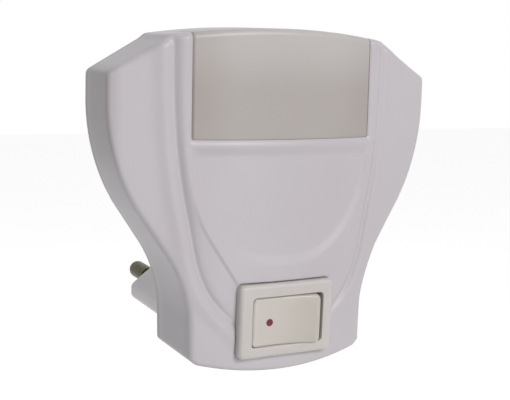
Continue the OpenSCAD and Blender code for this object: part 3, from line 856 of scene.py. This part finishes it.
def rocker_skin(sizes):
    """The rocker with its stem and its pivot pins."""
    skin = Skin()
    outline = spaced(box_outline(15.0, 10.0, sizes.rocker_corner / MM, 0.0, -0.27), 0.25)
    away = outward(outline)
    edge = sizes.rocker_edge / MM * np.interp(away[:, 1], [-0.9, 0.2], [0.45, 1])
    edge *= np.interp(away[:, 0], [-1, -0.4], [1.4, 1])
    slab(skin, outline, rocker_face, edge, 3.2, 0.6, back_edge=0.5, steps=6)
    stem = spaced(box_outline(4.6, 4.6, 0.4), 0.5)
    slab(skin, stem, lambda p: np.full(len(p), 2.9), 0.1, 6.9, 1.5, back_edge=0.2, steps=2)
    turn = np.linspace(0, 2 * math.pi, 24, endpoint=False)
    skin.solid([skin.row(np.column_stack([radius * np.cos(turn), PIVOT_Y + radius * np.sin(turn),
                                          np.full(24, z)]))
                for z, radius in ((-5.9, 0.7), (-5.7, 0.9), (5.7, 0.9), (5.9, 0.7))])
    return switch_place(skin, ROCKER_TILT)


def dot_skin(sizes):
    """The painted dot, a thin plug just proud of the rocker's face."""
    skin = Skin()
    outline = ring(sizes.dot_size / MM / 2, -3.5, -0.45, 40)
    slab(skin, outline, lambda p: rocker_face(p) - 0.035, 0.05, 0.75, 0.4)
    return switch_place(skin, ROCKER_TILT)


def pin_skin(x):
    """A plug pin: its shank and collar in the moulding, and its thicker bare end."""
    skin = Skin()
    profile = [(-13.0, 1.2), (-12.7, SHANK_RADIUS), (-6.5, SHANK_RADIUS), (-6.5, 2.75),
               (-4.5, 2.75), (-4.5, SHANK_RADIUS), (9.98, SHANK_RADIUS), (9.99, 1.8), (10.0, 1.88)]
    profile += [(y, PIN_RADIUS) for y in (10.12, 12.0, 14.0, 16.0)]
    profile += [(TIP_Y + 1.55 * math.sin(turn), 0.55 + 1.45 * math.cos(turn))
                for turn in quarter(9)]
    lathe(skin, profile, x)
    return skin


def sleeve_skin(x):
    """The insulating sleeve on a pin's shank."""
    skin = Skin()
    lathe(skin, [(PLUG_FLOOR, SHANK_RADIUS), (PLUG_FLOOR, 1.78), (-3.4, SLEEVE_RADIUS),
                 (9.8, SLEEVE_RADIUS), (9.94, 1.74), (9.97, 1.6), (9.97, SHANK_RADIUS)],
          x, bored=True)
    return skin


# MATERIALS


def feed(tree, node, inputs):
    """Sets the node's inputs, or links those that are given another node's output."""
    for name, value in inputs.items():
        if isinstance(value, bpy.types.NodeSocket):
            tree.links.new(value, node.inputs[name])
        else:
            node.inputs[name].default_value = value


def add_node(tree, kind, inputs, **options):
    """A new shader node with its options and its inputs set."""
    node = tree.nodes.new("ShaderNode" + kind)
    for name, value in options.items():
        setattr(node, name, value)
    feed(tree, node, inputs)
    return node


def finish(name, colour, roughness, shift=0.02, grain=(900.0, 0.00001), metallic=0.0, patch=60.0,
           tint=None, coat=0.0, subsurface=0.0, gloss_shift=0.06, painted_shades=()):
    """A moulded, painted or drawn finish: colour and gloss wander a little, and a fine grain
    roughens the surface. Grain is its scale per metre and its depth in metres. Each fade is
    painted shade: an axis, the two places in metres between which it comes in, and the colour
    it multiplies by."""
    material = bpy.data.materials.new(name)
    material.use_nodes = True
    tree = material.node_tree
    place = add_node(tree, "TexCoord", {}).outputs["Object"]

    def noise(scale, detail=3.0):
        inputs = {"Scale": scale, "Detail": detail, "Vector": place}
        return add_node(tree, "TexNoise", inputs).outputs["Fac"]

    def spread(value, inputs, **options):
        inputs = {"Value": value, **inputs}
        return add_node(tree, "MapRange", inputs, **options).outputs["Result"]

    def mix(factor, a, b, **options):
        inputs = {"Factor": factor, "A": a, "B": b}
        return add_node(tree, "Mix", inputs, data_type="RGBA", **options).outputs["Result"]

    contrast = {"From Min": 0.3, "From Max": 0.7}
    colour = np.array(colour)
    other = colour * (1 - 2 * shift) if tint is None else tint
    mixed = mix(spread(noise(patch), contrast), (*np.clip(colour * (1 + shift), 0, 1), 1),
                (*np.clip(other, 0, 1), 1))
    # painted shade: each fade darkens the colour from one place to the other along its axis
    for axis, start, end, factor in painted_shades:
        along = add_node(tree, "SeparateXYZ", {"Vector": place}).outputs[axis]
        share = spread(along, {"From Min": start, "From Max": end},
                       interpolation_type="SMOOTHSTEP")
        mixed = mix(share, mixed, (*factor, 1), blend_type="MULTIPLY", clamp_result=True)
    gloss = spread(noise(patch * 4), {**contrast, "To Min": max(roughness - gloss_shift, 0.02),
                                      "To Max": min(roughness + gloss_shift, 1.0)})
    bump = add_node(tree, "Bump", {"Strength": 1.0, "Distance": grain[1],
                                   "Height": noise(grain[0], 2.0)})
    shader = tree.nodes["Principled BSDF"]
    feed(tree, shader, {"Base Color": mixed, "Roughness": gloss, "Normal": bump.outputs["Normal"],
                        "Metallic": metallic, "Coat Weight": coat})
    if subsurface > 0:
        feed(tree, shader, {"Subsurface Weight": subsurface, "Subsurface Radius": (1.0, 0.9, 0.8),
                            "Subsurface Scale": 0.0015})
    return material


# SETTINGS

LENGTH = {"unit": "LENGTH", "precision": 5}
COLOUR = {"subtype": "COLOR", "size": 3, "min": 0.0, "max": 1.0}


class CaseSizes(PropertyGroup):
    frame_rise: FloatProperty(
        name="Frame rise", description="How far the middle stands proud", default=0.0008, **LENGTH)
    crest_step: FloatProperty(
        name="Crest step", description="Small step around the middle", default=0.0003, **LENGTH)
    groove: FloatProperty(
        name="Groove", description="Depth of the groove around the middle", default=0.00034,
        **LENGTH)
    flank_roll: FloatProperty(
        name="Flank roll", description="Soft ridge beside the groove", default=0.00034, **LENGTH)
    lens_recess: FloatProperty(
        name="Lens recess", description="Depth of the lens below the frame", default=0.0006,
        **LENGTH)
    edge_radius: FloatProperty(
        name="Edge radius", description="Rounding of the case's front edge", default=0.0008,
        **LENGTH)
    plug_edge: FloatProperty(
        name="Plug edge", description="Rounding of the plug body's end", default=0.001, **LENGTH)


class SwitchSizes(PropertyGroup):
    bezel_edge: FloatProperty(
        name="Bezel edge", description="Rounding of the bezel's outer edge", default=0.0009,
        **LENGTH)
    opening_edge: FloatProperty(
        name="Opening edge", description="Rounding of the bezel's opening", default=0.0002,
        **LENGTH)
    rocker_edge: FloatProperty(
        name="Rocker edge", description="Rounding of the rocker's face", default=0.0007, **LENGTH)
    rocker_corner: FloatProperty(
        name="Rocker corner", description="Rounding of its corners", default=0.0011, **LENGTH)
    dot_size: FloatProperty(
        name="Dot size", description="Diameter of the red dot", default=0.0015, **LENGTH)


class Colours(PropertyGroup):
    case: FloatVectorProperty(
        name="Case", description="White case plastic", default=(0.58, 0.553, 0.578), **COLOUR)
    cover: FloatVectorProperty(
        name="Cover", description="Rear cover and plug plastic", default=(0.86, 0.82, 0.84),
        **COLOUR)
    lens: FloatVectorProperty(
        name="Lens", description="Milky lens plastic", default=(0.56, 0.53, 0.515), **COLOUR)
    bezel: FloatVectorProperty(
        name="Bezel", description="Cream switch plastic", default=(0.64, 0.61, 0.585), **COLOUR)
    rocker: FloatVectorProperty(
        name="Rocker", description="Cream rocker plastic", default=(0.665, 0.62, 0.575), **COLOUR)
    dot: FloatVectorProperty(
        name="Dot", description="Red dot on the rocker", default=(0.15, 0.008, 0.018), **COLOUR)
    # painted reflection: the brass colour is kept very dark to stand in for the dark surroundings
    # the pins reflect
    brass: FloatVectorProperty(
        name="Brass", description="Plug pins and contacts", default=(0.062, 0.055, 0.02), **COLOUR)
    sleeve: FloatVectorProperty(
        name="Sleeve", description="Insulating sleeves on the pins", default=(0.05, 0.05, 0.055),
        **COLOUR)


class Studio(PropertyGroup):
    surround: FloatProperty(
        name="Surround", description="Strength of the even light around", default=0.27, min=0)
    key: FloatProperty(
        name="Key light", description="Power of the main lamp", default=2.5, min=0, unit="POWER")
    fill: FloatProperty(
        name="Fill light", description="Power of the second lamp", default=0.3, min=0, unit="POWER")
    top: FloatProperty(
        name="Top light", description="Power of the lamp overhead", default=0.2, min=0,
        unit="POWER")
    low: FloatProperty(
        name="Low light", description="Power of the small lamp by the plug", default=0.006, min=0,
        unit="POWER")
    floor_drop: FloatProperty(
        name="Floor drop", description="Height of the part above the floor", default=0.12, min=0,
        unit="LENGTH")


class NightLight(PropertyGroup):
    case: PointerProperty(type=CaseSizes)
    switch: PointerProperty(type=SwitchSizes)
    colours: PointerProperty(type=Colours)
    studio: PointerProperty(type=Studio)


def settings():
    """The sizes and colours of this scene."""
    return bpy.context.scene.night_light


# OPERATORS


class BuildFrontCase(Operator):
    """Builds the white front case around the window and the switch"""

    bl_idname = "night_light.front_case"
    bl_label = "Front Case"

    def execute(self, context):
        s = settings()
        warmer = np.array(s.colours.case) * (0.975, 0.955, 0.965)
        # painted shade: the case darkens towards its back edge, as shade in the seam with the rear
        # cover, and towards its far left side wall, which the light reaches less
        plastic = finish("case_plastic", s.colours.case, 0.39, shift=0.012, patch=35.0,
                         grain=(2600.0, 0.000004), tint=warmer, gloss_shift=0.02,
                         painted_shades=[("Y", -0.0222, -0.0206, (0.72, 0.68, 0.66)),
                                ("X", -0.0325, -0.0352, (0.86, 0.84, 0.84))])
        made = face_and_shell(s.case).piece("case_front", plastic, "housing")
        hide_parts("front_shell")
        return {"FINISHED"}


class BuildLens(Operator):
    """Builds the milky lens that runs over the crown"""

    bl_idname = "night_light.lens"
    bl_label = "Lens"

    def execute(self, context):
        s = settings()
        # painted shade: a dark band along the lens's left edge where the frame's lip shades it,
        # darker towards both side edges, and darker below its top so that the top reads as lit from
        # above
        milky = finish("milky_plastic", s.colours.lens, 0.38, shift=0.01, patch=30.0,
                       grain=(3200.0, 0.000003), subsurface=0.25,
                       painted_shades=[("X", -0.0191, -0.0197, (0.66, 0.63, 0.62)),
                              ("X", -0.01, -0.019, (0.92, 0.9, 0.89)),
                              ("X", 0.01, 0.0199, (0.92, 0.91, 0.91)),
                              ("Z", 0.0575, 0.046, (0.84, 0.82, 0.81))])
        made = lens_skin(s.case).piece("lens", milky, "housing")
        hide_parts("diffuser")
        return {"FINISHED"}


class BuildRearCover(Operator):
    """Builds the rear cover with its plug body"""

    bl_idname = "night_light.rear_cover"
    bl_label = "Rear Cover"

    def execute(self, context):
        s = settings()
        plastic = finish("cover_plastic", s.colours.cover, 0.46, shift=0.015, patch=35.0,
                         grain=(2200.0, 0.000006))
        made = rear_skin(s.case).piece("case_back", plastic, "housing")
        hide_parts("rear_cover")
        return {"FINISHED"}


class BuildSwitch(Operator):
    """Builds the switch bezel with its box, the rocker and its dot"""

    bl_idname = "night_light.switch"
    bl_label = "Switch"

    def execute(self, context):
        s = settings()
        cream = finish("bezel_plastic", s.colours.bezel, 0.36, shift=0.012, patch=90.0,
                       grain=(3000.0, 0.000003), subsurface=0.4)
        made = switch_skin(s.switch).piece("switch_bezel", cream, "housing")
        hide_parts("switch_body")
        # painted shade: the rocker darkens from left to right, as its face turns away from the
        # light
        warm = finish("rocker_plastic", s.colours.rocker, 0.34, shift=0.012, patch=110.0,
                      grain=(3000.0, 0.000003), subsurface=0.4,
                      painted_shades=[("X", -0.005, 0.006, (0.87, 0.865, 0.85))])
        made = rocker_skin(s.switch).piece("rocker_cap", warm, "rocker_body")
        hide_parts("rocker")
        paint = finish("dot_paint", s.colours.dot, 0.5, shift=0.15, patch=1500.0,
                       grain=(5000.0, 0.00001))
        made = dot_skin(s.switch).piece("rocker_dot", paint, "rocker_body")
        return {"FINISHED"}


class BuildPins(Operator):
    """Builds the two brass pins and their sleeves"""

    bl_idname = "night_light.pins"
    bl_label = "Pins"

    def execute(self, context):
        s = settings()
        # painted reflection: the brass colour is very dark, standing in for dark surroundings
        # reflected in the pins
        brass = finish("pin_brass", s.colours.brass, 0.34, shift=0.2, patch=420.0, metallic=1.0,
                       grain=(1500.0, 0.00002), gloss_shift=0.1)
        dark = finish("sleeve_plastic", s.colours.sleeve, 0.5, shift=0.08, patch=200.0,
                      grain=(2600.0, 0.00001))
        for side, x in (("left", -PIN_X), ("right", PIN_X)):
            made = pin_skin(x).piece("brass_pin_" + side, brass, "housing")
            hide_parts("pin_" + side)
            made = sleeve_skin(x).piece("sleeve_" + side, dark, "housing")
            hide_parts("pin_sleeve_" + side)
        return {"FINISHED"}


METAL = {"metallic": 1.0}
WORN_METAL = {"metallic": 1.0, "shift": 0.08}
INNER_FINISHES = (
    ("plunger_nylon", (0.8, 0.8, 0.77), 0.4, {}, ["plunger"]),
    ("spring_wire", (0.55, 0.56, 0.58), 0.3, METAL, ["plunger_spring"]),
    ("strip_brass", (0.66, 0.48, 0.22), 0.35, WORN_METAL,
     ["contact_lever", "centre_terminal", "end_terminal"]),
    ("contact_silver", (0.8, 0.8, 0.82), 0.25, METAL, ["moving_contact", "fixed_contact"]),
    ("board_laminate", (0.34, 0.22, 0.1), 0.55, {"shift": 0.12, "patch": 300.0},
     ["circuit_board"]),
    ("lamp_resin", (0.82, 0.84, 0.8), 0.12, {"coat": 0.5}, ["led_lamps"]),
    ("tinned_wire", (0.68, 0.68, 0.7), 0.32, METAL, ["led_leads", "component_leads"]),
    ("dipped_red", (0.45, 0.09, 0.05), 0.25, {"shift": 0.08, "coat": 0.4}, ["film_capacitor"]),
    ("shrunk_film", (0.05, 0.06, 0.1), 0.3, {"shift": 0.1}, ["electrolytic_capacitor"]),
    ("resistor_lacquer", (0.55, 0.44, 0.28), 0.4, {"shift": 0.1}, ["resistors"]),
    ("diode_body", (0.03, 0.03, 0.03), 0.45, {"shift": 0.1}, ["diodes"]),
    ("zinc_plate", (0.55, 0.55, 0.57), 0.33, {**WORN_METAL, "patch": 500.0},
     ["case_screws", "board_screws"]),
    ("brown_insulation", (0.2, 0.09, 0.045), 0.4, {"shift": 0.06}, ["wire_live"]),
    ("black_insulation", (0.025, 0.025, 0.027), 0.4, {"shift": 0.06}, ["wire_switched"]),
    ("blue_insulation", (0.04, 0.12, 0.4), 0.4, {"shift": 0.06}, ["wire_neutral"]),
)


class FinishInnerParts(Operator):
    """Gives the parts inside the case, and the screws, their finishes"""

    bl_idname = "night_light.inner_parts"
    bl_label = "Inner Parts"

    def execute(self, context):
        for name, colour, roughness, more, nodes in INNER_FINISHES:
            material = finish(name, colour, roughness, **more)
            for node in nodes:
                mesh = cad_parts[node].data
                mesh.materials.clear()
                mesh.materials.append(material)
        return {"FINISHED"}


CAMERA_PLACE = (-0.09882, -0.20943, 0.05825)
CAMERA_AXES = ((0.8841, -0.4659, 0.0369), (0.0439, 0.1613, 0.9859), (-0.4653, -0.87, 0.163))
SENSOR = 36.0
FOCAL_SHARE = 1014.6 / 510  # of the picture's width
FLOOR_HALF = 1.5
FLOOR_GLOW = 0.68


def seen_by(tree, *kinds):
    """1 for rays of any of the kinds, otherwise 0."""
    rays = add_node(tree, "LightPath", {}).outputs
    seen = rays[kinds[0]]
    for kind in kinds[1:]:
        seen = add_node(tree, "Math", {0: seen, 1: rays[kind]}, operation="MAXIMUM").outputs[0]
    return seen


def area_light(name, place, aim, size, power, colour):
    """A round lamp that points at its aim."""
    data = bpy.data.lights.new(name, "AREA")
    data.shape = "DISK"
    data.size = size
    data.energy = power
    data.color = colour
    lamp = bpy.data.objects.new(name, data)
    lamp.location = place
    lamp.rotation_euler = (Vector(aim) - Vector(place)).to_track_quat("-Z", "Y").to_euler()
    bpy.context.scene.collection.objects.link(lamp)


class BuildStage(Operator):
    """Sets up the floor, the lights and the camera"""

    bl_idname = "night_light.stage"
    bl_label = "Stage"

    def execute(self, context):
        s = settings().studio
        scene = context.scene
        camera = bpy.data.objects.new("camera", bpy.data.cameras.new("camera"))
        turn = Matrix(CAMERA_AXES).transposed().to_quaternion()
        camera.matrix_world = Matrix.LocRotScale(Vector(CAMERA_PLACE), turn, None)
        camera.data.sensor_width = SENSOR
        camera.data.lens = FOCAL_SHARE * SENSOR
        camera.data.clip_start = 0.01
        scene.collection.objects.link(camera)
        scene.camera = camera

        world = bpy.data.worlds.new("studio")
        scene.world = world
        world.use_nodes = True
        tree = world.node_tree
        seen = seen_by(tree, "Is Camera Ray", "Is Glossy Ray", "Is Transmission Ray")
        level = add_node(tree, "MapRange", {"To Min": s.surround, "To Max": 1.0, "Value": seen})
        feed(tree, tree.nodes["Background"], {"Color": (1, 1, 1, 1),
                                              "Strength": level.outputs["Result"]})

        for name, place, aim, size, power, colour in (
                ("key_light", (0.13, -0.62, 0.42), (0, -0.03, 0.025), 0.3, s.key, (1, 0.99, 1)),
                ("fill_light", (0.05, -0.55, -0.07), (0, -0.03, 0), 0.2, s.fill, (1, 0.98, 0.96)),
                ("top_light", (-0.07, 0.03, 0.5), (0, -0.02, 0.03), 0.2, s.top, (1, 1, 1)),
                ("low_light", (-0.10, -0.01, -0.045), (-0.02, -0.015, 0), 0.05, s.low,
                 (1, 1, 1))):
            area_light(name, place, aim, size, power, colour)

        pale = bpy.data.materials.new("pale_floor")
        pale.use_nodes = True
        tree = pale.node_tree
        seen = seen_by(tree, "Is Camera Ray", "Is Glossy Ray")
        share = add_node(tree, "Math", {0: seen, 1: FLOOR_GLOW}, operation="MULTIPLY")
        feed(tree, tree.nodes["Principled BSDF"], {
            "Base Color": (0.9, 0.9, 0.9, 1), "Roughness": 0.9, "Specular IOR Level": 0.1,
            "Emission Color": (1, 1, 1, 1), "Emission Strength": share.outputs[0]})
        side, z = FLOOR_HALF, LOW_Z * MM - s.floor_drop
        mesh = bpy.data.meshes.new("floor")
        mesh.from_pydata([(-side, -side, z), (side, -side, z), (side, side, z), (-side, side, z)],
                         [], [(0, 1, 2, 3)])
        mesh.materials.append(pale)
        floor = bpy.data.objects.new("floor", mesh)
        scene.collection.objects.link(floor)
        scene.view_settings.view_transform = "Standard"
        return {"FINISHED"}


PIECES = (BuildFrontCase, BuildLens, BuildRearCover, BuildSwitch, BuildPins, FinishInnerParts,
          BuildStage)


class NightLightPanel(Panel):
    """Lists the sizes, the colours and the pieces"""

    bl_idname = "VIEW3D_PT_night_light"
    bl_label = "Night Light"
    bl_space_type = "VIEW_3D"
    bl_region_type = "UI"
    bl_category = "Night Light"

    def draw(self, context):
        for group in ("case", "switch", "colours", "studio"):
            part = getattr(settings(), group)
            column = self.layout.column(heading=group.title())
            for name in part.bl_rna.properties.keys():
                if name not in ("rna_type", "name"):
                    column.prop(part, name)
        for piece in PIECES:
            self.layout.operator(piece.bl_idname)


CLASSES = (CaseSizes, SwitchSizes, Colours, Studio, NightLight, *PIECES, NightLightPanel)


def register():
    for item in CLASSES:
        bpy.utils.register_class(item)
    bpy.types.Scene.night_light = PointerProperty(type=NightLight)


def unregister():
    del bpy.types.Scene.night_light
    for item in reversed(CLASSES):
        bpy.utils.unregister_class(item)


def main():
    register()
    bpy.ops.night_light.front_case()
    bpy.ops.night_light.lens()
    bpy.ops.night_light.rear_cover()
    bpy.ops.night_light.switch()
    bpy.ops.night_light.pins()
    bpy.ops.night_light.inner_parts()
    bpy.ops.night_light.stage()


if __name__ == "__main__":
    main()
